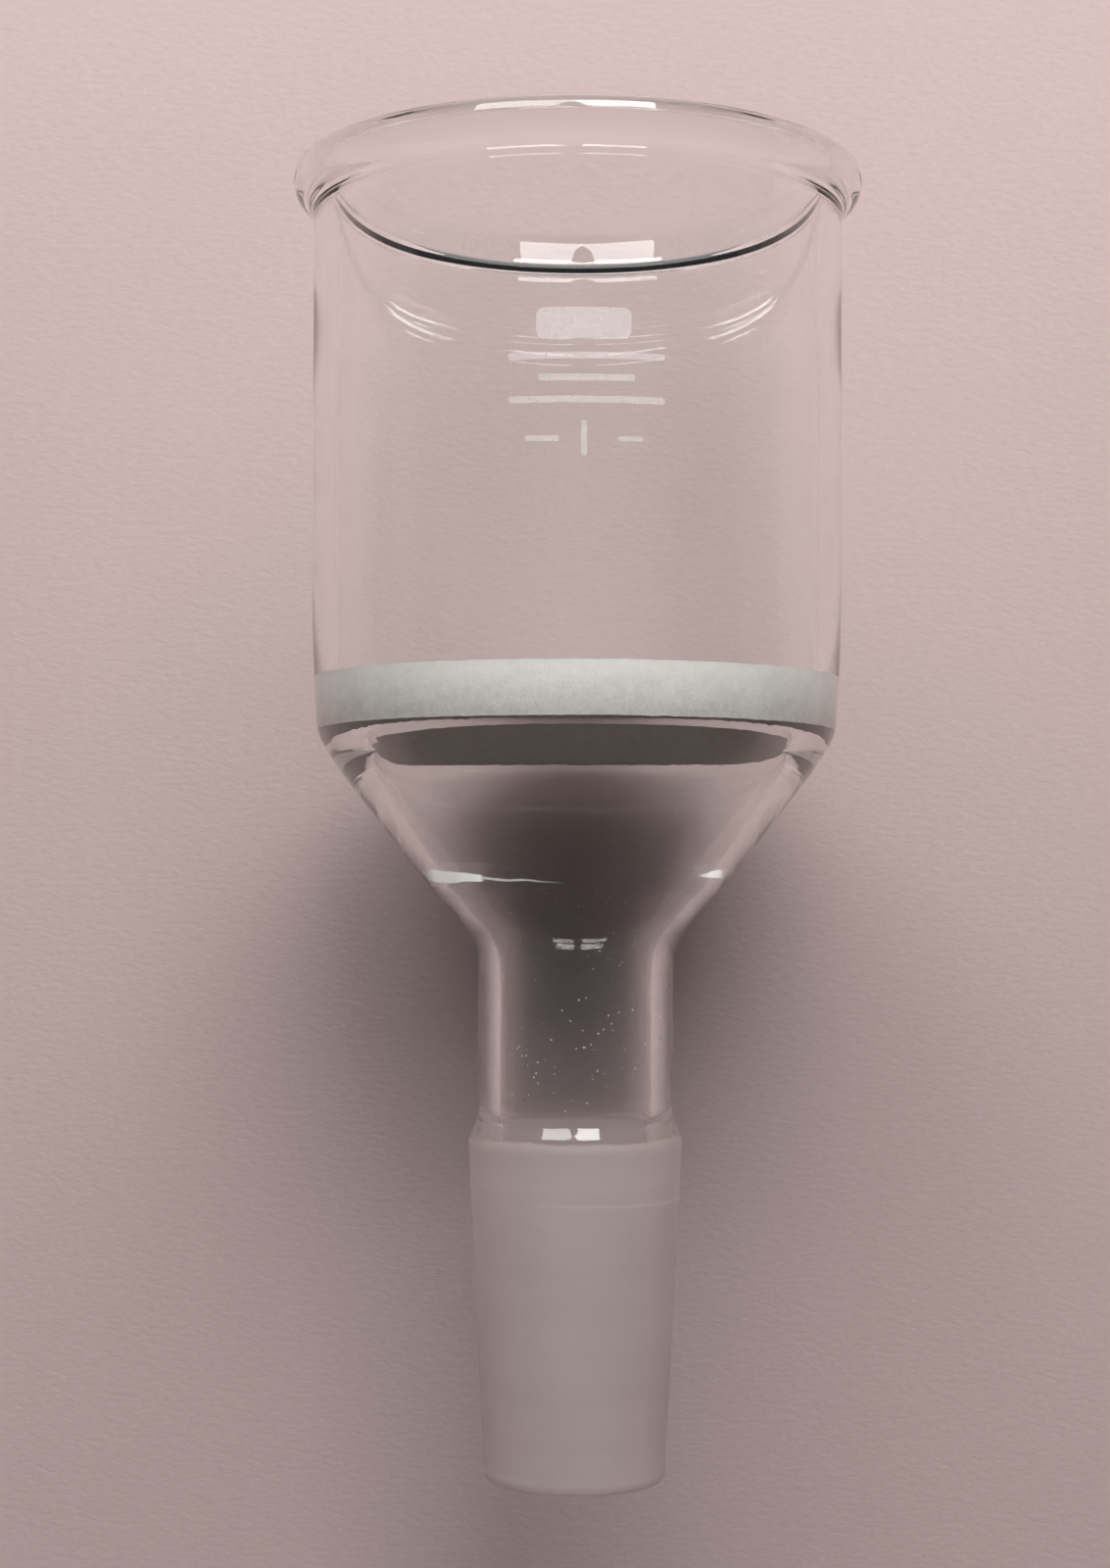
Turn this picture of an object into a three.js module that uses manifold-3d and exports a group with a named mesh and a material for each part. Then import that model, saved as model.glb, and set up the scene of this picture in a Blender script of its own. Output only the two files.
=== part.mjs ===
// Sintered-disc Buchner funnel with a ground glass cone joint.
// Millimetres, +Z up. Origin: centre of the ground joint's lower end face.
// Five glass pieces are fused in line on the Z axis. Enamel marks sit on the bowl's front (-Y).
import * as THREE from "three";
import { mergeVertices } from "three/addons/utils/BufferGeometryUtils.js";
import Module from "manifold-3d";

// ---- driving dimensions ----
const FACETS = 72; // segments round the axis, the same on every piece so that fused faces meet
const MERGE_TOLERANCE = 1e-4;

// ground joint, 24 mm size
const JOINT_END_R = 10.24; // radius the taper has at the end plane
const JOINT_TAPER = 0.05; // radius gained per mm of height, 1:10 on diameter
const JOINT_GROUND_TOP = 38.5; // end of the ground zone
const JOINT_TAPER_TOP = JOINT_GROUND_TOP - 0.6; // the shoulder starts to round here
const JOINT_TOP = 42.5; // fused to the stem here
const JOINT_END_BORE = 8.0; // every bore is given as a radius

// stem
const STEM_R = 11.15;
const STEM_NECK_R = 10.95; // slight draw-in above the joint
const STEM_BORE = 8.66;
const STEM_TOP = 67.5; // plane of the weld to the cone
const WELD_R = 16.9;
const WELD_BORE = 14.2;

// cone
const CONE_TOP = 85.5; // the disc's underside lies in this plane
const LEDGE_R = 25.0; // free radius of the disc's underside

// bowl
const BOWL_R = 30.0; // outside radius, 60 mm tube
const BOWL_BORE = 27.35;
const BOWL_SEAL_R = 29.5; // the tube draws in a little where the disc is sealed
const BARREL_LOW = 97.5; // the barrel is a true prism between these two heights
const BARREL_HIGH = 141.0;
const RIM_R = 32.2; // widest radius of the bead
const HEIGHT = 148.6;

// disc
const DISC_THICKNESS = 5.7;
const DISC_CLEARANCE = 0.03; // radial, stands for the fused edge
const DISC_R = BOWL_BORE - DISC_CLEARANCE;
const DISC_TOP = CONE_TOP + DISC_THICKNESS;

// enamel marks
const ENAMEL_THICKNESS = 0.08;
const ENAMEL_GAP = 0.02; // stand-off that keeps enamel and bowl apart
const ENAMEL_INNER_R = BOWL_R + ENAMEL_GAP;
const ENAMEL_OUTER_R = ENAMEL_INNER_R + ENAMEL_THICKNESS;
const MARK_BAND_LOW = 105; // the band that the marks are cut from
const MARK_BAND_HIGH = 135;
const MARK_ARC_SEGMENTS = 4; // per rounded corner

// ---- materials ----
const clearGlass = new THREE.MeshStandardMaterial({
  color: 0xe9efec,
  roughness: 0.03,
  metalness: 0,
  transparent: true,
  opacity: 0.35,
});
const groundGlass = new THREE.MeshStandardMaterial({
  color: 0xd9dcda,
  roughness: 0.75,
  metalness: 0,
  transparent: true,
  opacity: 0.7,
});
const fritGlass = new THREE.MeshStandardMaterial({
  color: 0xe6e8e4,
  roughness: 0.95,
  metalness: 0,
});
const enamel = new THREE.MeshStandardMaterial({
  color: 0xf0eeea,
  roughness: 0.6,
  metalness: 0,
});

// ---- geometry helpers ----
const wasm = await Module();
wasm.setup();

// Normals and UVs go first, since they would keep vertices at one place from merging.
function weldVertices(geometry) {
  geometry.deleteAttribute("normal");
  geometry.deleteAttribute("uv");
  return mergeVertices(geometry, MERGE_TOLERANCE);
}

// Revolves a profile of [radius, z] points round Z.
// Profiles run up the outside and down the inside, so that the faces point out.
// A ring's profile is closed here; a disc's starts and ends on the axis.
function revolve(profile) {
  const points = profile.map(([radius, z]) => new THREE.Vector2(radius, z));
  if (points[0].x > 0) points.push(points[0].clone());
  const geometry = weldVertices(new THREE.LatheGeometry(points, FACETS));
  geometry.rotateX(Math.PI / 2); // the lathe's Y axis becomes Z
  geometry.computeVertexNormals();
  return geometry;
}

function toSolid(geometry) {
  const welded = weldVertices(geometry);
  return new wasm.Manifold(
    new wasm.Mesh({
      numProp: 3,
      vertProperties: new Float32Array(welded.attributes.position.array),
      triVerts: new Uint32Array(welded.index.array),
    }),
  );
}

function toGeometry(solid) {
  const mesh = solid.getMesh();
  const positions = new Float32Array(mesh.vertProperties);
  const geometry = new THREE.BufferGeometry();
  geometry.setAttribute("position", new THREE.BufferAttribute(positions, 3));
  geometry.setIndex(new THREE.BufferAttribute(new Uint32Array(mesh.triVerts), 1));
  geometry.computeVertexNormals();
  return geometry;
}

// ---- glass profiles: [radius, z] ----
const jointTaperPoint = (z) => [JOINT_END_R + JOINT_TAPER * z, z];

const JOINT_PROFILE = [
  // end face and its rounded edge
  [JOINT_END_BORE + 0.25, 0], [9.75, 0], [10.08, 0.16], [10.27, 0.62],
  // ground taper
  jointTaperPoint(2), jointTaperPoint(20), jointTaperPoint(JOINT_TAPER_TOP),
  // rounded shoulder
  [12.13, JOINT_GROUND_TOP], [12.02, 39.0], [11.86, 39.65], [11.55, 40.25],
  [11.27, 40.9], [11.08, 41.55], [10.98, 42.1], [STEM_NECK_R, JOINT_TOP],
  // bore, downward
  [STEM_BORE, JOINT_TOP], [8.7, 39.5], [8.55, 34], [8.2, 14],
  [JOINT_END_BORE, 1.0], [JOINT_END_BORE + 0.06, 0.3],
];

const STEM_PROFILE = [
  // tube
  [STEM_NECK_R, JOINT_TOP], [10.97, 44.5], [11.08, 47.5],
  [STEM_R, 50.4], [STEM_R + 0.02, 56.9],
  // flare up to the weld
  [11.2, 57.9], [11.32, 59.0], [11.52, 60.0], [11.82, 60.9], [12.22, 61.75],
  [12.7, 62.55], [13.28, 63.35], [13.95, 64.15], [14.75, 65.05], [15.6, 66.0],
  [WELD_R, STEM_TOP],
  // bore, downward
  [WELD_BORE, STEM_TOP], [13.1, 66.2], [11.95, 64.75], [10.9, 63.4], [10.05, 62.1],
  [9.42, 60.8], [9.0, 59.5], [8.76, 58.2],
  [STEM_BORE, 56.7], [8.64, 50.0], [STEM_BORE, JOINT_TOP],
];

const CONE_PROFILE = [
  // outside
  [WELD_R, STEM_TOP], [17.45, 68.2], [18.05, 69.0], [19.84, 71.25], [22.42, 74.6],
  [25.33, 78.35], [26.95, 80.5], [28.3, 82.55], [29.0, 83.75], [29.35, 84.7],
  [BOWL_SEAL_R, CONE_TOP],
  // ledge that the disc is sealed to
  [LEDGE_R, CONE_TOP], [LEDGE_R - 0.5, 84.4], [LEDGE_R - 0.65, 83.9],
  [LEDGE_R - 0.75, 83.4], [LEDGE_R - 0.95, 82.75],
  // inside, downward
  [23.64, 81.75], [21.55, 78.55], [18.75, 74.25], [16.5, 70.95], [15.25, 69.1],
  [WELD_BORE, STEM_TOP],
];

const DISC_PROFILE = [
  [0, CONE_TOP], [DISC_R, CONE_TOP], [DISC_R, DISC_TOP], [0, DISC_TOP],
];

const BOWL_PROFILE = [
  // seal and barrel
  [BOWL_SEAL_R, CONE_TOP], [29.62, 87.5], [29.8, 91.0], [29.93, 94.5],
  [BOWL_R, BARREL_LOW], [BOWL_R, BARREL_HIGH],
  // flare and bead, outside
  [30.01, 142.9], [30.1, 143.5], [30.34, 143.88], [31.12, 144.52], [31.52, 144.9],
  [31.86, 145.4], [32.1, 146.1], [RIM_R, 146.85], [32.13, 147.5], [31.88, 148.1],
  [31.4, 148.5], [30.8, HEIGHT],
  // bead, inside
  [29.9, HEIGHT], [29.1, 148.5], [28.5, 148.22], [28.1, 147.75], [27.85, 147.15],
  [27.68, 146.5], [27.5, 145.2], [27.38, 143.8],
  // bore, downward
  [BOWL_BORE, BARREL_HIGH], [BOWL_BORE, BARREL_LOW], [BOWL_BORE, CONE_TOP],
];

// Fused pieces from the bottom up: name, profile, material.
const GLASS_PIECES = [
  ["ground_joint", JOINT_PROFILE, groundGlass],
  ["stem_tube", STEM_PROFILE, clearGlass],
  ["lower_cone", CONE_PROFILE, clearGlass],
  ["sintered_disc", DISC_PROFILE, fritGlass],
  ["bowl_tube", BOWL_PROFILE, clearGlass],
];

// ---- enamel marks ----
const BAR_X = 0.96;
const BAR_MIDDLE_Z = 119.9;
const BAR_PITCH = 2.25;
const BAR_HEIGHT = 0.7;
const BAR_CORNER = 0.3;
const LONG_BAR = 16.2;
const SHORT_BAR = 10.0;
const DASH_Z = 113.64; // the tick between the dashes is centred on it too
const DASH_HEIGHT = 0.55;
const DASH_CORNER = 0.22;

// Name, centre x, centre z, width, height, corner radius.
const MARKS = [
  ["marking_patch", 0.65, 125.5, 9.8, 3.2, 0.8],
  ["mark_bar_top", BAR_X, BAR_MIDDLE_Z + BAR_PITCH, LONG_BAR, BAR_HEIGHT, BAR_CORNER],
  ["mark_bar_middle", BAR_X, BAR_MIDDLE_Z, SHORT_BAR, BAR_HEIGHT, BAR_CORNER],
  ["mark_bar_bottom", BAR_X, BAR_MIDDLE_Z - BAR_PITCH, LONG_BAR, BAR_HEIGHT, BAR_CORNER],
  ["mark_dash_left", -3.57, DASH_Z, 3.5, DASH_HEIGHT, DASH_CORNER],
  ["mark_dash_right", 5.47, DASH_Z, 2.6, DASH_HEIGHT, DASH_CORNER],
  ["mark_tick", 0.7, DASH_Z, 0.6, 3.6, 0.25],
];

function roundedRectangle(width, height, corner) {
  const right = width / 2;
  const top = height / 2;
  const arcX = right - corner; // the corner arcs are centred at (+-arcX, +-arcY)
  const arcY = top - corner;
  const shape = new THREE.Shape();
  shape.moveTo(-arcX, -top);
  shape.lineTo(arcX, -top);
  shape.absarc(arcX, -arcY, corner, -Math.PI / 2, 0, false);
  shape.lineTo(right, arcY);
  shape.absarc(arcX, arcY, corner, 0, Math.PI / 2, false);
  shape.lineTo(-arcX, top);
  shape.absarc(-arcX, arcY, corner, Math.PI / 2, Math.PI, false);
  shape.lineTo(-right, -arcY);
  shape.absarc(-arcX, -arcY, corner, Math.PI, 1.5 * Math.PI, false);
  return shape;
}

const markBand = toSolid(
  revolve([
    [ENAMEL_INNER_R, MARK_BAND_LOW],
    [ENAMEL_OUTER_R, MARK_BAND_LOW],
    [ENAMEL_OUTER_R, MARK_BAND_HIGH],
    [ENAMEL_INNER_R, MARK_BAND_HIGH],
  ]),
);

// Cuts one mark out of the thin band that follows the barrel.
function markGeometry(x, z, width, height, corner) {
  const prism = new THREE.ExtrudeGeometry(roundedRectangle(width, height, corner), {
    depth: 2 * BOWL_R, // reaches from the axis out past the band
    bevelEnabled: false,
    curveSegments: MARK_ARC_SEGMENTS,
  });
  prism.rotateX(Math.PI / 2); // extrudes towards -Y
  prism.translate(x, 0, z);
  return toGeometry(markBand.intersect(toSolid(prism)));
}

// ---- assembly ----
const funnel = new THREE.Group();
funnel.name = "buchner_funnel";

function add(name, geometry, material) {
  const mesh = new THREE.Mesh(geometry, material);
  mesh.name = name;
  funnel.add(mesh);
}

for (const [name, profile, material] of GLASS_PIECES) add(name, revolve(profile), material);
for (const [name, ...placement] of MARKS) add(name, markGeometry(...placement), enamel);

export default funnel;
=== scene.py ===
"""A filter funnel of clear glass: bowl, sintered disc, cone, stem and ground joint.

It stands upright on the Z axis, joint end at the bottom and bowl at the top, with the
enamel marks on the front (-Y). The camera looks along +Y, so +X is on its right.
"""
import math

import bmesh
import bpy
import numpy as np
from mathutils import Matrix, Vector, noise


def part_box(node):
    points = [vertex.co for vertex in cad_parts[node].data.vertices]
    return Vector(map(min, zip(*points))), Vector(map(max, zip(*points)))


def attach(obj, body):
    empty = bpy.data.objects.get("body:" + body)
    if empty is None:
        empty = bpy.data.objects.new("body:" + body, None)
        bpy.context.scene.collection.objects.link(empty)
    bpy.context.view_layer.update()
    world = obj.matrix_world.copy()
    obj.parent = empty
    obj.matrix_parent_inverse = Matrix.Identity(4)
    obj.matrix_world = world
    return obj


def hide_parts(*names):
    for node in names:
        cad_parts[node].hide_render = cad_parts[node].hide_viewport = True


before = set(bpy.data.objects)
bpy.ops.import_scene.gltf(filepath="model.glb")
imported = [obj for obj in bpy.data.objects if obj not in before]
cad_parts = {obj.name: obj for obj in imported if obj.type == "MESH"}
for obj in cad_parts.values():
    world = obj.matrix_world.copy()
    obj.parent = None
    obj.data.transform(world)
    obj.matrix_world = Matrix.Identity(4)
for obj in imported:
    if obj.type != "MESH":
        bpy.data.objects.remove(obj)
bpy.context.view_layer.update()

scene = bpy.context.scene

# ---------------------------------------------------------------------------
# Sizes in millimetres, read from the CAD frame; meshes and shaders are in metres
# ---------------------------------------------------------------------------
MM = 0.001


def span(node):
    lo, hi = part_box(node)
    return lo / MM, hi / MM


def radius_of(node):
    lo, hi = span(node)
    return (hi.x - lo.x) / 2


END_Z = span("ground_joint")[0].z  # lower end face
NECK_Z = span("ground_joint")[1].z  # joint fused to the stem
WELD_Z = span("stem_tube")[1].z  # stem welded to the cone
SEAL_Z = span("lower_cone")[1].z  # cone, bowl and disc meet
TOP_Z = span("bowl_tube")[1].z  # top of the bead
DISC_BASE_Z = span("sintered_disc")[0].z
DISC_TOP_Z = span("sintered_disc")[1].z

RIM_RADIUS = radius_of("bowl_tube")
DISC_RADIUS = radius_of("sintered_disc")
WELD_RADIUS = radius_of("stem_tube")
SEAL_RADIUS = radius_of("lower_cone")
JOINT_RADIUS = radius_of("ground_joint")
BARREL_RADIUS = RIM_RADIUS - 2.2  # bowl tube below the flared rim
BOWL_BORE = DISC_RADIUS + 0.03
WELD_BORE = WELD_RADIUS - 2.7
NECK_RADIUS = 10.95
STEM_RADIUS = 11.15
STEM_BORE = 8.66

SEGMENTS = 288  # steps round the axis

# ---------------------------------------------------------------------------
# Curves in the (radius, height) plane
# ---------------------------------------------------------------------------


def offsets(radius, height, points):
    """Points given as (radius, height) offsets from one place."""
    return [(radius + dr, height + dz) for dr, dz in points]


def straight(start, end, step=0.9):
    """A straight line cut into pieces of roughly one step."""
    start, end = np.array(start, float), np.array(end, float)
    count = max(1, int(np.linalg.norm(end - start) / step))
    return [start + (end - start) * i / count for i in range(count + 1)]


def spline(points, step=0.22):
    """A dense smooth curve through the points, with its own end tangents."""
    knots = [np.array(p, float) for p in points]
    last = len(knots) - 1
    curve = []
    for i in range(last):
        start, end = knots[i], knots[i + 1]
        before = knots[i - 1] if i else start - (end - start)
        after = knots[i + 2] if i + 2 <= last else end + (end - start)
        pairs = ((before, start), (start, end), (end, after))
        d0, d1, d2 = (max(np.linalg.norm(b - a), 1e-6) for a, b in pairs)
        tangent_in = ((start - before) / d0 * d1 + (end - start) / d1 * d0) / (d0 + d1)
        tangent_out = ((end - start) / d1 * d2 + (after - end) / d2 * d1) / (d1 + d2)
        count = max(2, int(d1 / step))
        for j in range(count):
            t = j / count
            curve.append(
                (2 * t**3 - 3 * t**2 + 1) * start
                + (t**3 - 2 * t**2 + t) * tangent_in * d1
                + (-2 * t**3 + 3 * t**2) * end
                + (t**3 - t**2) * tangent_out * d1
            )
    curve.append(knots[-1])
    return curve


def angle_between(a, b):
    return abs(math.degrees(math.atan2(a[0] * b[1] - a[1] * b[0], a @ b)))


def thin(points, angle=1.6, longest=1.1):
    """Drops points of a dense curve where it is nearly straight."""
    kept = [points[0]]
    previous = None
    for i in range(1, len(points) - 1):
        chord = points[i] - kept[-1]
        turn = angle_between(chord, points[i + 1] - points[i])
        if previous is not None:
            turn += angle_between(previous, chord) * 0.5
        if turn > angle or np.linalg.norm(chord) > longest:
            previous = chord
            kept.append(points[i])
    kept.append(points[-1])
    return kept


def smooth(points):
    return thin(spline(points))


# ---------------------------------------------------------------------------
# Unevenness of hand-worked glass
# ---------------------------------------------------------------------------


def wander(x, y, z, seed, wave):
    """Smooth noise with features about one wave across."""
    shift = Vector((seed * 17.3, -seed * 5.1, seed * 9.7))
    return noise.noise(Vector((x / wave + shift.x, y / wave + shift.y, z / wave + shift.z)))


def bell(z, centre, width):
    return math.exp(-(((z - centre) / width) ** 2))


def smooth_step(x, start, end):
    t = min(1.0, max(0.0, (x - start) / (end - start)))
    return t * t * (3 - 2 * t)


# Flame-worked zones: (amount, height of centre, half width)
WORKED_ZONES = (
    (0.07, WELD_Z, 2.6),
    (0.03, WELD_Z + 8, 7),
    (0.02, WELD_Z - 6.5, 3.5),
    (0.02, NECK_Z, 2.5),
    (0.012, TOP_Z - 3, 4),
    (0.02, SEAL_Z, 4),
)
TUBE_WANDER = 0.005  # drawn tube is nearly true


def hand_made(side, x, y, z):
    """How far the glass stands off a perfect lathe shape, in mm."""
    seed = 3 if side == "out" else 11
    worked = sum(amount * bell(z, centre, width) for amount, centre, width in WORKED_ZONES)
    coarse = wander(x, y, z, seed, 11.0)
    fine = wander(x, y, z * 1.3, seed + 1, 5.0)
    offset = worked * (0.7 * coarse + 0.3 * fine)
    offset += TUBE_WANDER * wander(x, y, z * 0.35, seed + 2, 14.0)
    if side == "in":
        # fold on the inside of the weld: deepest at the two sides, slanting a little
        sideways = abs(x) / math.hypot(x, y)
        fold = 0.06 + 0.22 * sideways**5
        offset += fold * bell(z, WELD_Z + 1.05 - 0.012 * x, 0.5)
        # the ledge under the disc is heavier on the left
        leftness = max(0.0, -x / math.hypot(x, y))
        offset -= 0.45 * leftness**2 * bell(z, SEAL_Z - 1.8, 3.5)
    return offset


# ---------------------------------------------------------------------------
# Mesh helpers
# ---------------------------------------------------------------------------


def add_object(name, data):
    obj = bpy.data.objects.new(name, data)
    scene.collection.objects.link(obj)
    return obj


def outward_mesh(name, points, faces, check_volume=False):
    """A mesh whose normals point out, optionally made certain by its signed volume."""
    mesh = bpy.data.meshes.new(name)
    mesh.from_pydata(points, [], faces)
    mesh.update()
    bm = bmesh.new()
    bm.from_mesh(mesh)
    bmesh.ops.recalc_face_normals(bm, faces=bm.faces)
    if check_volume and bm.calc_volume(signed=True) < 0:
        bmesh.ops.reverse_faces(bm, faces=bm.faces[:])
    bm.to_mesh(mesh)
    bm.free()
    return mesh


def shade_smooth(mesh, sharp_angle):
    mesh.polygons.foreach_set("use_smooth", [True] * len(mesh.polygons))
    mesh.set_sharp_from_angle(angle=math.radians(sharp_angle))


def revolve(name, runs):
    """A closed body of revolution from runs of (material slot, side, points).

    Each run ends where the next one starts. Only "out" and "in" sides are uneven.
    """
    loop, slots, sides = [], [], []
    for slot, side, points in runs:
        for point in points[:-1]:
            loop.append(point)
            slots.append(slot)
            sides.append(side)
    count = len(loop)
    # the first point of a cap also belongs to the wall before it, and follows that
    point_sides = [sides[i - 1] if side == "cap" else side for i, side in enumerate(sides)]
    points = []
    for i in range(SEGMENTS):
        angle = 2 * math.pi * i / SEGMENTS
        cos, sin = math.cos(angle), math.sin(angle)
        for (radius, z), side in zip(loop, point_sides):
            if side in ("out", "in"):
                offset = hand_made(side, radius * cos, radius * sin, z)
            else:
                offset = 0.0
            uneven = radius + offset
            points.append((uneven * cos * MM, uneven * sin * MM, z * MM))
    faces = []
    for i in range(SEGMENTS):
        here, there = i * count, (i + 1) % SEGMENTS * count
        for k in range(count):
            m = (k + 1) % count
            faces.append((here + k, there + k, there + m, here + m))
    mesh = outward_mesh(name, points, faces)
    mesh.polygons.foreach_set("material_index", slots * SEGMENTS)
    shade_smooth(mesh, sharp_angle=38)
    return add_object(name, mesh)


def place(obj, node, slot, *materials):
    """Gives an object its materials and puts it in the place of a CAD node."""
    for material in materials:
        obj.data.materials.append(material)
    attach(obj, "root")
    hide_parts(node)


# ---------------------------------------------------------------------------
# Shader helpers
# ---------------------------------------------------------------------------


class Nodes:
    """Builds the node tree of a material or world. Inputs take values or sockets."""

    def __init__(self, owner, output="ShaderNodeOutputMaterial"):
        owner.use_nodes = True
        self.owner = owner
        self.tree = owner.node_tree
        self.tree.nodes.clear()
        self.output = self.tree.nodes.new(output)

    def feed(self, socket, value):
        if isinstance(value, bpy.types.NodeSocket):
            self.tree.links.new(value, socket)
        elif socket.type == "RGBA":
            socket.default_value = (*value, 1)
        else:
            socket.default_value = value

    def add(self, kind, **inputs):
        """A new node; an underscore in an input's name stands for a space."""
        node = self.tree.nodes.new(kind)
        for name, value in inputs.items():
            self.feed(node.inputs[name.replace("_", " ")], value)
        return node

    def shader(self, kind, **inputs):
        return self.add("ShaderNodeBsdf" + kind, **inputs).outputs[0]

    def math(self, operation, *values, clamp=False):
        node = self.add("ShaderNodeMath")
        node.operation = operation
        node.use_clamp = clamp
        for socket, value in zip(node.inputs, values):
            self.feed(socket, value)
        return node.outputs[0]

    def plus(self, a, b, clamp=False):
        return self.math("ADD", a, b, clamp=clamp)

    def minus(self, a, b, clamp=False):
        return self.math("SUBTRACT", a, b, clamp=clamp)

    def times(self, a, b, clamp=False):
        return self.math("MULTIPLY", a, b, clamp=clamp)

    def weigh(self, a, share_a, b, share_b):
        return self.plus(self.times(a, share_a), self.times(b, share_b))

    def rise(self, value, start, length, clamp=False):
        """Climbs from 0 at start (mm) to 1 after length (mm)."""
        return self.times(self.minus(value, start * MM), 1 / (length * MM), clamp)

    def fall(self, value, end, length):
        """Drops from 1 to 0 over length (mm), reaching 0 at end (mm)."""
        return self.times(self.minus(end * MM, value), 1 / (length * MM), clamp=True)

    def ramp(self, factor, *stops):
        """Colours along a ramp; stops are (position, colour)."""
        node = self.add("ShaderNodeValToRGB", Fac=factor)
        elements = node.color_ramp.elements
        while len(elements) < len(stops):
            elements.new(0.5)
        for element, (position, colour) in zip(elements, stops):
            element.position = position
            element.color = (*colour, 1)
        return node.outputs["Color"]

    def noise(self, vector, scale, detail, rough=0.5):
        node = self.add(
            "ShaderNodeTexNoise", Vector=vector, Scale=scale, Detail=detail, Roughness=rough
        )
        return node.outputs["Fac"]

    def cells(self, vector, scale):
        """Distance to the nearest of many scattered points."""
        return self.add("ShaderNodeTexVoronoi", Vector=vector, Scale=scale).outputs["Distance"]

    def coords(self, scale=(1, 1, 1)):
        place_ = self.add("ShaderNodeTexCoord").outputs["Object"]
        return self.add("ShaderNodeMapping", Vector=place_, Scale=scale).outputs["Vector"]

    def split(self, vector):
        return self.add("ShaderNodeSeparateXYZ", Vector=vector).outputs

    def squeezed(self, across, along):
        """Coordinates scaled across and along the axis, and the unscaled height."""
        x, y, z = self.split(self.add("ShaderNodeTexCoord").outputs["Object"])
        scaled = self.add(
            "ShaderNodeCombineXYZ",
            X=self.times(x, across),
            Y=self.times(y, across),
            Z=self.times(z, along),
        )
        return scaled.outputs[0], z

    def bump(self, height, strength, distance):
        node = self.add("ShaderNodeBump", Height=height, Strength=strength, Distance=distance)
        return node.outputs[0]

    def mix(self, factor, first, second):
        node = self.add("ShaderNodeMixShader")
        for socket, value in zip(node.inputs, (factor, first, second)):
            self.feed(socket, value)
        return node.outputs[0]

    def mix_colour(self, factor, first, second):
        node = self.add("ShaderNodeMix")
        node.data_type = "RGBA"
        # inputs 6 and 7 are the node's two colours, output 2 its colour result
        for index, value in ((0, factor), (6, first), (7, second)):
            self.feed(node.inputs[index], value)
        return node.outputs[2]

    def let_light_by(self, shader, tint, edge):
        """Shadow rays and rays that left a matt surface pass straight through.

        Lamps then light what is behind the glass. Glass met at a slant bends light
        aside, so the tint is darkened by edge there.
        """
        path = self.add("ShaderNodeLightPath").outputs
        either = self.math("MAXIMUM", path["Is Shadow Ray"], path["Is Diffuse Ray"])
        facing = self.add("ShaderNodeLayerWeight", Blend=0.5).outputs["Facing"]
        dark = tuple(edge * c for c in tint)
        shade = self.ramp(facing, (0.0, tint), (0.45, tint), (0.92, dark))
        return self.mix(either, shader, self.shader("Transparent", Color=shade))

    def done(self, shader):
        self.feed(self.output.inputs["Surface"], shader)
        return self.owner


def material_nodes(name):
    return Nodes(bpy.data.materials.new(name))


# ---------------------------------------------------------------------------
# Materials
# ---------------------------------------------------------------------------
GLASS_IOR = 1.473
GLASS_COLOUR = (0.990, 0.992, 0.989)
CLEAR_SHADOW = dict(tint=(0.955, 0.965, 0.96), edge=0.55)
# pale colour of the painted glint along the weld
PAINTED_GLINT_COLOUR = (0.93, 0.925, 0.91)


def glass_shader(nodes, colour=GLASS_COLOUR, roughness=0.0, **inputs):
    return nodes.shader(
        "Principled",
        Base_Color=colour,
        Roughness=roughness,
        IOR=GLASS_IOR,
        Transmission_Weight=1.0,
        **inputs,
    )


def clear_glass(name, specks=0.0):
    """Polished glass; specks is how strongly dust shows on it."""
    nodes = material_nodes(name)
    shader = glass_shader(nodes)
    if specks:
        # fine dust and dried droplets: sparse pale dots
        spot = nodes.coords()
        chosen = nodes.math("GREATER_THAN", nodes.noise(spot, scale=610, detail=0), 0.60)
        dot = nodes.math("LESS_THAN", nodes.cells(spot, scale=1150), 0.13)
        dots = nodes.times(nodes.times(dot, chosen), specks)
        shader = nodes.mix(dots, shader, nodes.shader("Diffuse", Color=(0.95, 0.95, 0.93)))
    return nodes.done(nodes.let_light_by(shader, **CLEAR_SHADOW))


def weld_glint_band(nodes, spot, waver, start, end, height, slope, half_widths, strength, fades):
    """Mask of a painted glint along a fold of the weld, from start to end along x, on the front;
    lengths in mm.

    half_widths, and fades for the distances it fades in and out, are (at start, at end).
    """
    x, y, z = spot
    along = nodes.rise(x, start, end - start, clamp=True)
    fade_in = nodes.rise(x, start, fades[0], clamp=True)
    fade_out = nodes.fall(x, end, fades[1])
    growth = (half_widths[1] - half_widths[0]) * MM
    half = nodes.plus(half_widths[0] * MM, nodes.times(along, growth))
    # both ends are rounded off
    near_end = nodes.math("MINIMUM", nodes.times(fade_out, 2.0), 1.0)
    half = nodes.times(half, nodes.math("POWER", nodes.times(fade_in, near_end), 0.5))
    middle = nodes.plus(height * MM, nodes.times(along, slope * MM))
    off = nodes.math("ABSOLUTE", nodes.minus(nodes.plus(z, waver), middle))
    edge_blur = 0.16 * MM
    mask = nodes.times(nodes.minus(half, off), 1 / edge_blur, clamp=True)
    front = nodes.math("LESS_THAN", y, 0.002)
    mask = nodes.times(mask, nodes.times(fade_in, fade_out))
    return nodes.times(nodes.times(mask, front), strength)
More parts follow.
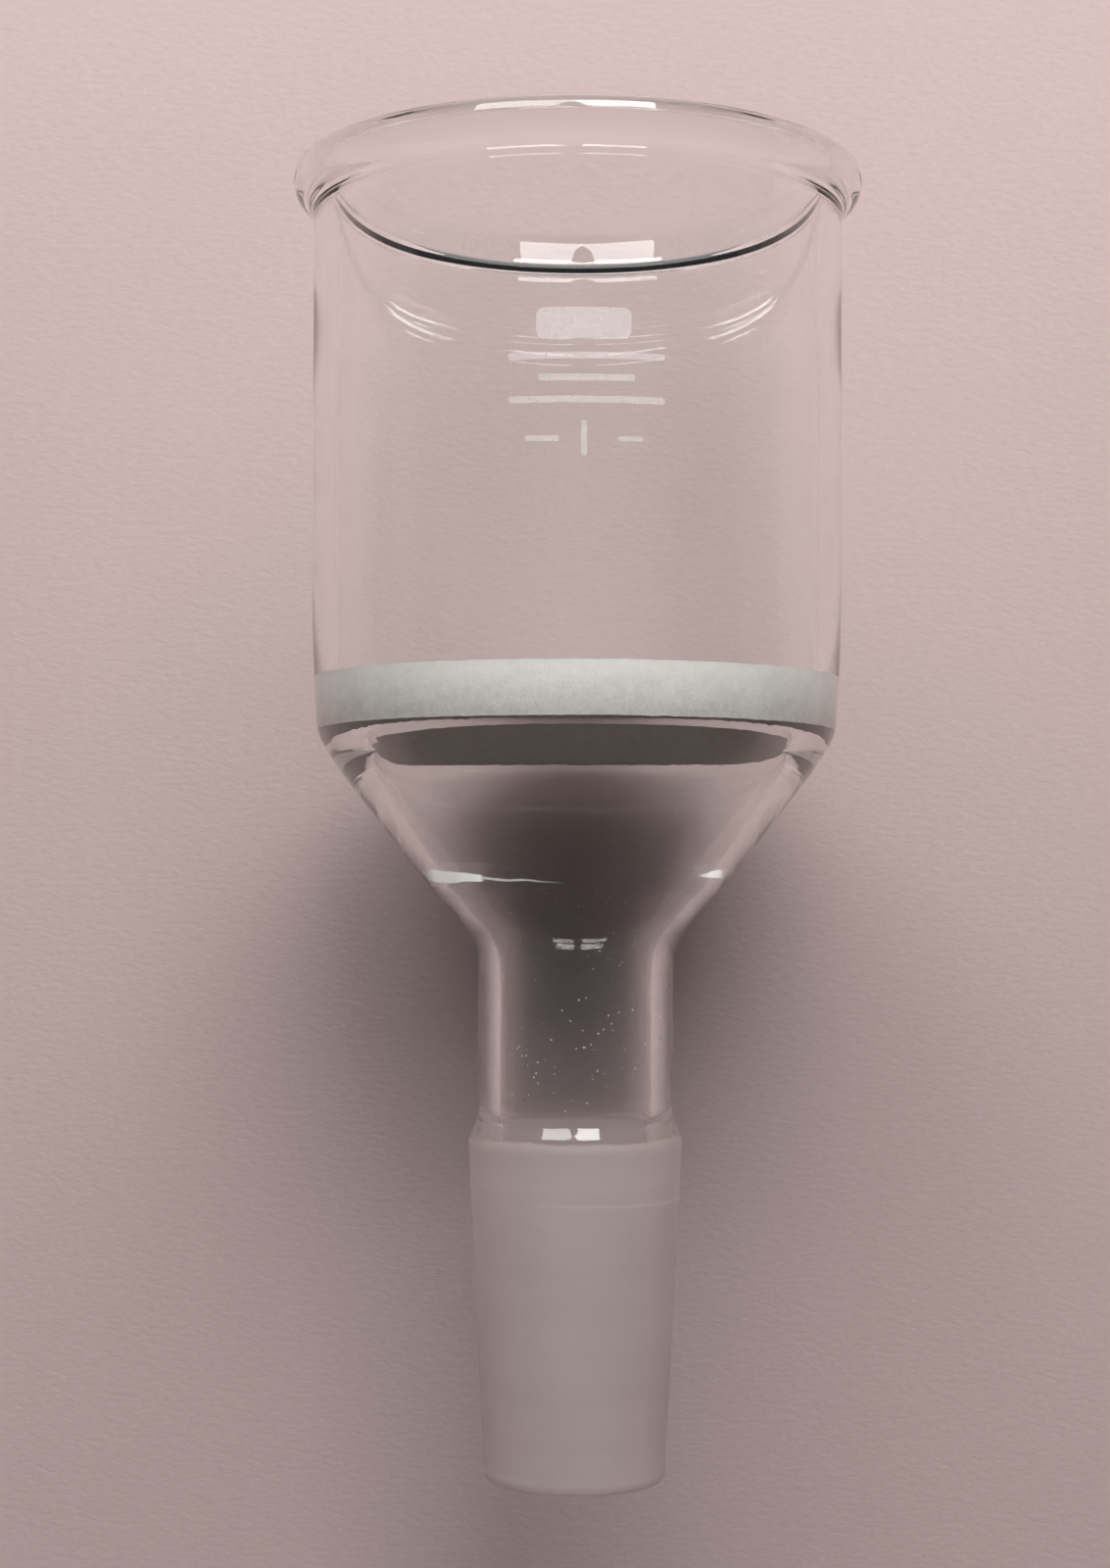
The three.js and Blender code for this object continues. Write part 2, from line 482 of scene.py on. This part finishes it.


# Painted glints where the weld's folds catch the light, from the left: a broad one, a fine trail
# from it, one at the right
WELD_GLINTS = (
    dict(start=-17.1, end=-9.8, height=WELD_Z + 1.15, slope=-0.42,
         half_widths=(1.0, 0.36), strength=0.88, fades=(1.5, 0.7)),
    dict(start=-10.2, end=0.0, height=WELD_Z + 0.80, slope=-0.45,
         half_widths=(0.22, 0.12), strength=0.42, fades=(0.2, 8.5)),
    dict(start=12.9, end=16.7, height=WELD_Z + 1.15, slope=0.1,
         half_widths=(0.30, 0.62), strength=0.75, fades=(2.0, 0.9)),
)


def painted_glint_shader(nodes):
    """Painted glint of the weld: a pale silvery colour, a glossy part whose normal is set to
    look up and forward so that it catches the lamps, and a faint glow.
    """
    painted_silver = nodes.shader("Diffuse", Color=PAINTED_GLINT_COLOUR)
    glint_normal = nodes.add("ShaderNodeCombineXYZ", X=0.10, Y=-0.89, Z=0.44).outputs[0]
    gleam = nodes.shader("Glossy", Color=(0.50, 0.50, 0.49), Roughness=0.40, Normal=glint_normal)
    glow = nodes.shader("Translucent", Color=PAINTED_GLINT_COLOUR)
    return nodes.mix(0.15, nodes.mix(0.78, painted_silver, gleam), glow)


def rippled_glass(name, weld_glint=False):
    """Clear glass with fine ripples from the flame, and the painted glints along the weld's
    folds if wanted.
    """
    nodes = material_nodes(name)
    ripple = nodes.noise(nodes.coords((1, 1, 1.6)), scale=420, detail=2)
    normal = nodes.bump(ripple, strength=0.05, distance=0.0002)
    shader = glass_shader(nodes, Normal=normal)
    if weld_glint:
        vector = nodes.coords()
        spot = nodes.split(vector)
        glint = painted_glint_shader(nodes)
        waver = nodes.times(nodes.minus(nodes.noise(vector, scale=230, detail=2), 0.5), 0.0007)
        mask, *others = [weld_glint_band(nodes, spot, waver, **band) for band in WELD_GLINTS]
        for other in others:
            mask = nodes.math("MAXIMUM", mask, other)
        # painted glint over the glass where the weld's folds catch the light
        shader = nodes.mix(mask, shader, glint)
    return nodes.done(nodes.let_light_by(shader, **CLEAR_SHADOW))


def fused_face():
    """Invisible faces where two pieces of glass are fused into one."""
    nodes = material_nodes("fused_face")
    return nodes.done(nodes.shader("Transparent"))


def ground_tone(nodes, vector, broad, cloud, z):
    """Paleness of the ground surface."""
    tone = nodes.weigh(broad, 0.5, cloud, 0.5)
    # a paler zone near the wide end
    from_zone = nodes.rise(z, END_Z + 34.9, 1.7)
    zone = nodes.minus(1.0, nodes.times(from_zone, from_zone), clamp=True)
    tone = nodes.plus(tone, nodes.times(zone, 0.10))
    # a pale lower edge
    low = nodes.minus(1.0, nodes.times(z, 1 / (1.3 * MM)), clamp=True)
    tone = nodes.plus(tone, nodes.times(low, 0.35))
    # a fine slanting line below the paler zone, fading out towards the left
    x = nodes.split(vector)[0]
    line_z = nodes.plus((END_Z + 32.45) * MM, nodes.times(x, -0.02))
    wavy_z = nodes.plus(z, nodes.times(cloud, 0.0003))
    off = nodes.math("ABSOLUTE", nodes.minus(wavy_z, line_z))
    line = nodes.fall(off, 0.22, 0.18)
    line = nodes.times(line, nodes.times(nodes.plus(x, 0.007), 160.0, clamp=True))
    return nodes.plus(tone, nodes.times(line, 0.45))


def ground_glass():
    """Frosted joint surface, fire polished above the ground zone."""
    nodes = material_nodes("ground_glass")
    vector = nodes.coords()
    # faint rings left by the grinding: bands along the axis, nearly constant round it
    banded, z = nodes.squeezed(across=0.06, along=1.0)
    rings = nodes.noise(banded, scale=900, detail=3, rough=0.65)
    broad = nodes.noise(banded, scale=260, detail=2)
    grain = nodes.noise(vector, scale=6500, detail=2, rough=0.6)
    cloud = nodes.noise(vector, scale=120, detail=3, rough=0.55)
    relief = nodes.weigh(rings, 0.6, grain, 0.6)
    normal = nodes.bump(relief, strength=0.35, distance=0.00003)
    # the rosy tint of the frost is painted light: it stands for the light from the rosy floor
    # showing through
    colour = nodes.ramp(
        ground_tone(nodes, vector, broad, cloud, z),
        (0.3, (0.82, 0.69, 0.665)),
        (0.7, (0.93, 0.80, 0.775)),
        (1.0, (0.98, 0.93, 0.915)),
    )
    glass = glass_shader(nodes, colour=(0.97, 0.975, 0.97), roughness=0.42, Normal=normal)
    matt = nodes.shader("Diffuse", Color=colour, Normal=normal)
    glow = nodes.shader("Translucent", Color=colour, Normal=normal)
    frost = nodes.mix(0.58, glass, nodes.mix(0.45, matt, glow))
    frost = nodes.let_light_by(frost, tint=(0.46, 0.455, 0.45), edge=0.6)
    soft = nodes.noise(vector, scale=700, detail=2)
    polished_normal = nodes.bump(soft, strength=0.10, distance=0.0002)
    clear = glass_shader(nodes, colour=(0.985, 0.992, 0.988), Normal=polished_normal)
    clear = nodes.let_light_by(clear, **CLEAR_SHADOW)
    # the edge of the grinding wanders a little
    edge = nodes.plus(z, nodes.times(nodes.noise(vector, scale=110, detail=2), 0.0011))
    polished = nodes.math("SMOOTH_MIN", 1.0, nodes.rise(edge, NECK_Z - 3.0, 0.35), 0.0)
    polished = nodes.math("MAXIMUM", polished, 0.0)
    return nodes.done(nodes.mix(polished, frost, clear))


def sintered_glass():
    """Grainy white glass with a greyer upper face, and painted shade towards its underside."""
    nodes = material_nodes("sintered_glass")
    vector = nodes.coords()
    grain = nodes.noise(vector, scale=3400, detail=3, rough=0.7)
    coarse = nodes.noise(vector, scale=900, detail=2, rough=0.6)
    cells = nodes.cells(vector, scale=4200)
    # painted shade: the plate is a little darker towards its underside, where less light reaches
    # it, with a soft wander round it
    height = nodes.rise(nodes.split(vector)[2], DISC_BASE_Z + 0.3, 4.6)
    soft = nodes.minus(nodes.noise(vector, scale=160, detail=2), 0.5)
    height = nodes.plus(height, nodes.times(soft, 0.5), clamp=True)
    tone = nodes.weigh(grain, 0.6, coarse, 0.4)
    tone = nodes.weigh(tone, 0.55, height, 0.42)
    body = nodes.ramp(
        tone,
        (0.18, (0.43, 0.405, 0.37)),
        (0.42, (0.63, 0.605, 0.565)),
        (0.62, (0.765, 0.747, 0.71)),
        (0.85, (0.86, 0.842, 0.805)),
    )
    # the upper face is ground flat and keeps a greyer, more open grain
    facing = nodes.split(nodes.add("ShaderNodeNewGeometry").outputs["Normal"])[2]
    upward = nodes.times(nodes.minus(facing, 0.5), 4.0, clamp=True)
    flat = nodes.ramp(
        nodes.weigh(grain, 0.55, cells, 0.45),
        (0.25, (0.40, 0.392, 0.37)),
        (0.50, (0.56, 0.55, 0.525)),
        (0.75, (0.66, 0.65, 0.625)),
    )
    relief = nodes.plus(nodes.times(cells, 0.7), grain)
    return nodes.done(nodes.shader(
        "Principled",
        Base_Color=nodes.mix_colour(upward, body, flat),
        Roughness=0.85,
        IOR=GLASS_IOR,
        Normal=nodes.bump(relief, strength=0.2, distance=0.00006),
    ))


def fired_enamel():
    """A thin patchy print that lets most of the glass show through."""
    nodes = material_nodes("fired_enamel")
    patch = nodes.noise(nodes.coords(), scale=1400, detail=3, rough=0.6)
    colour = nodes.ramp(patch, (0.3, (0.86, 0.80, 0.78)), (0.7, (0.94, 0.88, 0.86)))
    paint = nodes.shader(
        "Principled",
        Base_Color=colour,
        Roughness=0.5,
        IOR=1.5,
        Normal=nodes.bump(patch, strength=0.2, distance=0.00004),
    )
    cover = nodes.plus(0.15, nodes.times(patch, 0.20))
    return nodes.done(nodes.mix(cover, nodes.shader("Transparent"), paint))


def floor_paper():
    nodes = material_nodes("floor_paper")
    cloud = nodes.noise(nodes.coords(), scale=9, detail=2)
    fibre = nodes.noise(nodes.coords((1, 1, 2.2)), scale=700, detail=4, rough=0.6)
    tone = nodes.weigh(fibre, 0.5, cloud, 0.5)
    return nodes.done(nodes.shader(
        "Principled",
        Base_Color=nodes.ramp(tone, (0.35, (0.575, 0.435, 0.425)), (0.65, (0.625, 0.48, 0.47))),
        Roughness=0.85,
        Normal=nodes.bump(fibre, strength=0.25, distance=0.0002),
    ))


# ---------------------------------------------------------------------------
# Glass pieces. Outlines are (radius, height) offsets from the place named first.
# ---------------------------------------------------------------------------


def make_bowl(clear, fused):
    """Drawn tube, sealed to the disc below, flared and beaded above."""
    wall = smooth(
        offsets(SEAL_RADIUS, SEAL_Z, [(0, 0), (0.12, 2.0), (0.3, 5.5), (0.43, 9.0)])
        + offsets(BARREL_RADIUS, SEAL_Z, [(0, 13.0), (0.01, 25.0), (0, 40.0)])
        + offsets(BARREL_RADIUS, TOP_Z, [
            (0, -7.5), (0.01, -5.7), (0.1, -5.1), (0.34, -4.72),
            (0.7, -4.42), (1.12, -4.08), (1.52, -3.7), (1.86, -3.2),
        ])
        + offsets(RIM_RADIUS, TOP_Z, [
            (-0.1, -2.5), (0, -1.75), (-0.07, -1.1), (-0.32, -0.5), (-0.8, -0.1), (-1.4, 0),
            (-2.3, 0), (-3.1, -0.1), (-3.7, -0.38), (-4.1, -0.85), (-4.35, -1.45), (-4.52, -2.1),
        ])
        + offsets(BOWL_BORE, TOP_Z, [(0.2, -2.9), (0.08, -3.8), (0, -5.0), (0, -25.0)])
        + offsets(BOWL_BORE, SEAL_Z, [(0, 25.0), (0, 8.0), (0, 0)])
    )
    seal = straight((BOWL_BORE, SEAL_Z), (SEAL_RADIUS, SEAL_Z))
    bowl = revolve("bowl_glass", [(0, "out", wall), (1, "cap", seal)])
    place(bowl, "bowl_tube", "clear_glass", clear, fused)


def make_cone(rippled, fused, weld_glint):
    """Cone from the weld up to the ledge under the disc."""
    ledge = BOWL_BORE - 3.05
    shelf = BOWL_BORE - 2.35
    outside = smooth(
        offsets(WELD_RADIUS, WELD_Z, [
            (0, 0), (0.55, 0.7), (1.15, 1.5), (2.94, 3.75),
            (5.52, 7.1), (8.43, 10.85), (10.05, 13.0), (11.4, 15.05),
        ])
        + offsets(SEAL_RADIUS, SEAL_Z, [(-0.5, -1.75), (-0.15, -0.8), (0, 0)])
    )
    inside = smooth(
        offsets(shelf, SEAL_Z, [
            (0, 0), (-0.25, -0.55), (-0.5, -1.1), (-0.65, -1.6), (-0.75, -2.1), (-0.95, -2.75),
        ])
        + offsets(ledge, SEAL_Z, [(-0.66, -3.75), (-2.75, -6.95), (-5.55, -11.25)])
        + offsets(WELD_BORE, WELD_Z, [(2.3, 3.45), (1.05, 1.6), (0, 0)])
    )
    seal = straight((SEAL_RADIUS, SEAL_Z), (BOWL_BORE, SEAL_Z))
    seal += straight((BOWL_BORE, SEAL_Z), (shelf, SEAL_Z))[1:]
    cone = revolve("cone_glass", [
        (2, "out", outside),
        (1, "cap", seal),
        (0, "in", inside),
        (1, "cap", straight((WELD_BORE, WELD_Z), (WELD_RADIUS, WELD_Z))),
    ])
    place(cone, "lower_cone", "clear_glass", rippled, fused, weld_glint)


def make_stem(dusty, fused):
    """Tube opened out at the top."""
    outside = smooth(
        offsets(NECK_RADIUS, NECK_Z, [(0, 0), (0.02, 2), (0.13, 5)])
        + [(STEM_RADIUS, NECK_Z + 7.9), (STEM_RADIUS + 0.02, WELD_Z - 10.6)]
        + offsets(0, WELD_Z, [
            (11.2, -9.6), (11.32, -8.5), (11.52, -7.5), (11.82, -6.6), (12.22, -5.75),
            (12.7, -4.95), (13.28, -4.15), (13.95, -3.35), (14.75, -2.45), (15.6, -1.5),
            (WELD_RADIUS, 0),
        ])
    )
    inside = smooth(
        offsets(0, WELD_Z, [
            (WELD_BORE, 0), (13.1, -1.3), (11.95, -2.75), (10.9, -4.1), (10.05, -5.4),
            (9.42, -6.7), (9.0, -8.0), (8.76, -9.3), (STEM_BORE, -10.8),
        ])
        + offsets(0, NECK_Z, [(8.64, 7.5), (STEM_BORE, 0)])
    )
    stem = revolve("stem_glass", [
        (0, "out", outside),
        (1, "cap", straight((WELD_RADIUS, WELD_Z), (WELD_BORE, WELD_Z))),
        (0, "in", inside),
        (1, "cap", straight((STEM_BORE, NECK_Z), (NECK_RADIUS, NECK_Z))),
    ])
    place(stem, "stem_tube", "clear_glass", dusty, fused)


def make_joint(ground, fused, clear):
    """Joint with a 1:10 taper outside, a clear bore and a rounded shoulder above."""
    taper_per_mm = 0.05  # on the radius
    taper_length = 38.5
    end_radius = JOINT_RADIUS - taper_per_mm * taper_length + 0.035
    face_outer, face_inner = 9.75, 8.25  # flat lower end face
    outside = smooth(
        offsets(0, END_Z, [(face_outer, 0), (10.08, 0.16), (10.27, 0.62)])
        + offsets(end_radius, END_Z, [(0.1, 2.0), (1.0, 20.0), (1.85, 37.2)])
        + offsets(JOINT_RADIUS, END_Z, [(0, 38.3), (-0.11, 39.0)])
        + offsets(0, NECK_Z, [
            (11.86, -2.85), (11.55, -2.25), (11.27, -1.6), (11.08, -0.95),
            (NECK_RADIUS + 0.03, -0.4), (NECK_RADIUS, 0),
        ])
    )
    inside = smooth(
        offsets(0, NECK_Z, [(STEM_BORE, 0), (8.7, -3), (8.55, -8.5)])
        + offsets(0, END_Z, [(8.2, 14), (8.0, 1.0), (8.06, 0.3), (face_inner, 0)])
    )
    joint = revolve("joint_glass", [
        (0, "out", outside),
        (1, "cap", straight((NECK_RADIUS, NECK_Z), (STEM_BORE, NECK_Z))),
        (2, "in", inside),
        (0, "flat", straight((face_inner, END_Z), (face_outer, END_Z))),
    ])
    place(joint, "ground_joint", "ground_glass", ground, fused, clear)


# ---------------------------------------------------------------------------
# Sintered disc: a grainy plate, its edge sunk a little into the glass
# ---------------------------------------------------------------------------


def disc_row(bm, radius, z, edge, base, top):
    """One ring of grainy vertices, or a single one on the axis."""
    if radius == 0.0:
        return [bm.verts.new((0, 0, z * MM))]
    row = []
    for i in range(SEGMENTS):
        angle = 2 * math.pi * i / SEGMENTS
        x, y = radius * math.cos(angle), radius * math.sin(angle)
        grain = 0.10 * wander(x, y, z, 5, 0.55) + 0.07 * wander(x, y, z, 6, 1.3)
        if z in (base, top):
            up = 1 if z == top else -1
            # the fused rim keeps closer to its plane
            near_edge = smooth_step(radius, edge - 1.2, edge)
            height = z + up * grain * (1.0 - 0.35 * near_edge) - 0.02 * up
            row.append(bm.verts.new((x * MM, y * MM, height * MM)))
        else:
            stretch = (radius + 0.5 * grain) / radius
            row.append(bm.verts.new((x * stretch * MM, y * stretch * MM, z * MM)))
    return row


def make_disc(sintered):
    edge, base, top = BOWL_BORE + 0.10, DISC_BASE_Z - 0.05, DISC_TOP_Z
    radii = [edge * (i / 52) for i in range(53)]
    profile = [(radius, base) for radius in radii]
    profile += [(edge, height) for height in np.linspace(base, top, 13)[1:-1]]
    profile += [(radius, top) for radius in reversed(radii)]
    bm = bmesh.new()
    rows = [disc_row(bm, radius, z, edge, base, top) for radius, z in profile]
    for a, b in zip(rows, rows[1:]):
        for i in range(SEGMENTS):
            j = (i + 1) % SEGMENTS
            if len(a) == 1:
                bm.faces.new((a[0], b[i], b[j]))
            elif len(b) == 1:
                bm.faces.new((a[i], b[0], a[j]))
            else:
                bm.faces.new((a[i], b[i], b[j], a[j]))
    bmesh.ops.recalc_face_normals(bm, faces=bm.faces)
    mesh = bpy.data.meshes.new("sintered_plate")
    bm.to_mesh(mesh)
    bm.free()
    shade_smooth(mesh, sharp_angle=50)
    place(add_object("sintered_plate", mesh), "sintered_disc", "sintered_glass", sintered)


# ---------------------------------------------------------------------------
# Enamel marks: thin shells on the barrel, with slightly uneven printed edges
# ---------------------------------------------------------------------------
MARKS = (  # CAD node, corner radius
    ("marking_patch", 0.8), ("mark_bar_top", 0.3), ("mark_bar_middle", 0.3),
    ("mark_bar_bottom", 0.3), ("mark_dash_left", 0.22), ("mark_dash_right", 0.22),
    ("mark_tick", 0.25),
)
OUTLINE_STEP = 0.12
STRIP_WIDTH = 0.5
MERGE_DISTANCE = 0.02
PRINT_INNER = BARREL_RADIUS + 0.012
PRINT_OUTER = BARREL_RADIUS + 0.085


def mark_outline(half_width, half_height, corner, seed):
    """Uneven outline of a round-cornered rectangle, as (x, z) about its centre."""
    points = []
    for side_x, side_z, start in ((1, -1, -90), (1, 1, 0), (-1, 1, 90), (-1, -1, 180)):
        corner_x, corner_z = side_x * (half_width - corner), side_z * (half_height - corner)
        for i in range(9):
            a = math.radians(start + 90 * i / 8)
            points.append((corner_x + corner * math.cos(a), corner_z + corner * math.sin(a)))
    dense = []
    for (x0, z0), (x1, z1) in zip(points, points[1:] + points[:1]):
        count = max(1, int(math.hypot(x1 - x0, z1 - z0) / OUTLINE_STEP))
        for i in range(count):
            dense.append((x0 + (x1 - x0) * i / count, z0 + (z1 - z0) * i / count))
    outline = []
    for x, z in dense:
        push = 0.028 * wander(x, z, seed, 7, 0.35) + 0.02 * wander(x, z, seed, 8, 1.1)
        # outward from the nearer side
        if half_width - abs(x) < half_height - abs(z):
            outline.append((x + math.copysign(1, x) * push, z))
        else:
            outline.append((x, z + math.copysign(1, z) * push))
    return outline


def flat_strips(outline, half_width):
    """The outline filled and cut into narrow upright strips, so that it can wrap.

    Returns its points, its faces and its border edges.
    """
    bm = bmesh.new()
    face = bm.faces.new([bm.verts.new((x, 0, z)) for x, z in outline])
    bmesh.ops.triangulate(bm, faces=[face])
    x = -half_width + STRIP_WIDTH
    while x < half_width:
        bmesh.ops.bisect_plane(
            bm,
            geom=bm.verts[:] + bm.edges[:] + bm.faces[:],
            plane_co=(x, 0, 0),
            plane_no=(1, 0, 0),
            dist=MERGE_DISTANCE,
        )
        x += STRIP_WIDTH
    bmesh.ops.remove_doubles(bm, verts=bm.verts[:], dist=MERGE_DISTANCE)
    bmesh.ops.recalc_face_normals(bm, faces=bm.faces)
    bm.verts.ensure_lookup_table()
    points = [v.co.copy() for v in bm.verts]
    faces = [tuple(v.index for v in f.verts) for f in bm.faces]
    border = [tuple(v.index for v in e.verts) for e in bm.edges if len(e.link_faces) == 1]
    bm.free()
    return points, faces, border


def make_mark(node, corner, seed, enamel):
    lo, hi = span(node)
    centre_x, centre_z = (lo.x + hi.x) / 2, (lo.z + hi.z) / 2
    half_width, half_height = (hi.x - lo.x) / 2, (hi.z - lo.z) / 2
    outline = mark_outline(half_width, half_height, corner, seed)
    base, cells, border = flat_strips(outline, half_width)

    def wrap(point, radius):
        # x is kept and y follows the barrel
        x = centre_x + point.x
        return (x * MM, -math.sqrt(radius * radius - x * x) * MM, (centre_z + point.z) * MM)

    n = len(base)
    points = [wrap(p, radius) for radius in (PRINT_INNER, PRINT_OUTER) for p in base]
    faces = [tuple(i + n for i in cell) for cell in cells]
    faces += [tuple(reversed(cell)) for cell in cells]
    faces += [(a, b, b + n, a + n) for a, b in border]
    name = node + "_print"
    mesh = outward_mesh(name, points, faces, check_volume=True)
    place(add_object(name, mesh), node, "enamel", enamel)


# ---------------------------------------------------------------------------
# Camera: level, in front of the axis at mid-cone height. Metres from here on.
# ---------------------------------------------------------------------------


def make_camera():
    data = bpy.data.cameras.new("camera")
    camera = add_object("camera", data)
    scene.camera = camera
    data.sensor_fit = "AUTO"
    data.sensor_width = 36.0
    data.lens = 60.4125
    data.shift_x = -0.0134375
    data.shift_y = 0.0475
    data.clip_start = 0.01
    data.clip_end = 20
    camera.location = (0, -0.300, 0.0705)
    camera.rotation_euler = (math.pi / 2, math.radians(-0.15), 0)  # with a slight roll
    return camera


# ---------------------------------------------------------------------------
# Stage: the funnel lies on a pale floor, so the floor is the upright plane behind it.
# Floor and lamps turn about the funnel's axis with the camera, like a turntable.
# ---------------------------------------------------------------------------


def make_turntable(camera):
    turntable = add_object("stage_turntable", None)
    follow = turntable.constraints.new("LOCKED_TRACK")
    follow.target = camera
    follow.track_axis = "TRACK_NEGATIVE_Y"
    follow.lock_axis = "LOCK_Z"
    return turntable


def make_floor(turntable):
    y = RIM_RADIUS * MM + 0.0008
    half = 3.0
    corners = [(-half, y, -half), (half, y, -half), (half, y, half), (-half, y, half)]
    mesh = bpy.data.meshes.new("floor")
    mesh.from_pydata(corners, [], [(0, 1, 2, 3)])
    floor = add_object("floor", mesh)
    floor.parent = turntable
    mesh.materials.append(floor_paper())


WARM_WHITE = (1.0, 0.99, 0.975)
WARMER_WHITE = (1.0, 0.985, 0.965)
COOL_WHITE = (0.98, 0.99, 1.0)

# A window of two panes, high in front, the right one brighter. The mirrored panes are what
# the glass shows; the others are the light that falls on matt surfaces.
# name, azimuth to the right, elevation, width, height (degrees), radiance, colour, mirrored
PANES = (
    ("window_right", 17.0, 47, 23, 27, 16.0, WARM_WHITE, True),
    ("window_left", -25.5, 47, 27, 27, 10.0, WARMER_WHITE, True),
    ("light_right", 15.0, 44, 27, 26, 6.6, WARM_WHITE, False),
    ("light_left", -21.0, 44, 30, 26, 2.6, WARMER_WHITE, False),
    ("skylight", 4.0, 62, 70, 30, 3.6, COOL_WHITE, False),
)
PANE_DISTANCE = 0.62
PANE_AIM = Vector((0, 0, 0.06))


def make_pane(turntable, name, azimuth, elevation, width, height, radiance, colour, mirrored):
    a, e = math.radians(azimuth), math.radians(elevation)
    direction = Vector((math.sin(a) * math.cos(e), -math.cos(a) * math.cos(e), math.sin(e)))
    at = PANE_AIM + PANE_DISTANCE * direction
    light = bpy.data.lights.new(name, "AREA")
    light.shape = "RECTANGLE"
    size_x, size_y = (
        2 * PANE_DISTANCE * math.tan(math.radians(angle / 2)) for angle in (width, height)
    )
    light.size = size_x
    light.size_y = size_y
    light.energy = radiance * math.pi * size_x * size_y
    light.color = colour
    lamp = add_object(name, light)
    lamp.parent = turntable
    lamp.location = at
    lamp.rotation_euler = (PANE_AIM - at).to_track_quat("-Z", "Y").to_euler()
    lamp.visible_diffuse = not mirrored
    lamp.visible_glossy = mirrored
    lamp.visible_transmission = mirrored


def make_world():
    """Dim surroundings, brighter above, and weaker for light on matt surfaces."""
    scene.world = bpy.data.worlds.new("studio")
    nodes = Nodes(scene.world, output="ShaderNodeOutputWorld")
    height = nodes.split(nodes.add("ShaderNodeTexCoord").outputs["Generated"])[2]
    climb = nodes.add("ShaderNodeMapRange", Value=height, From_Min=-0.6, From_Max=0.8)
    colour = nodes.ramp(
        climb.outputs[0], (0.0, (0.085, 0.080, 0.076)), (1.0, (0.26, 0.262, 0.265))
    )
    diffuse = nodes.add("ShaderNodeLightPath").outputs["Is Diffuse Ray"]
    strength = nodes.add("ShaderNodeMapRange", Value=diffuse, To_Min=0.9, To_Max=0.5)
    background = nodes.add(
        "ShaderNodeBackground", Color=colour, Strength=strength.outputs[0]
    )
    nodes.done(background.outputs[0])


# ---------------------------------------------------------------------------
# Build
# ---------------------------------------------------------------------------
clear = clear_glass("clear_glass")
dusty = clear_glass("clear_glass_stem", specks=0.4)
weld_glint = rippled_glass("clear_glass_weld_glint", weld_glint=True)
rippled = rippled_glass("clear_glass_rippled")
fused = fused_face()
ground = ground_glass()
sintered = sintered_glass()
enamel = fired_enamel()

make_bowl(clear, fused)
make_cone(rippled, fused, weld_glint)
make_stem(dusty, fused)
make_joint(ground, fused, clear)
make_disc(sintered)
for i, (node, corner) in enumerate(MARKS):
    make_mark(node, corner, i * 3.7, enamel)

turntable = make_turntable(make_camera())
make_floor(turntable)
for pane in PANES:
    make_pane(turntable, *pane)
make_world()

scene.view_settings.view_transform = "Standard"
scene.cycles.max_bounces = 24
scene.cycles.transmission_bounces = 20
scene.cycles.glossy_bounces = 8
scene.cycles.diffuse_bounces = 4
scene.cycles.transparent_max_bounces = 40
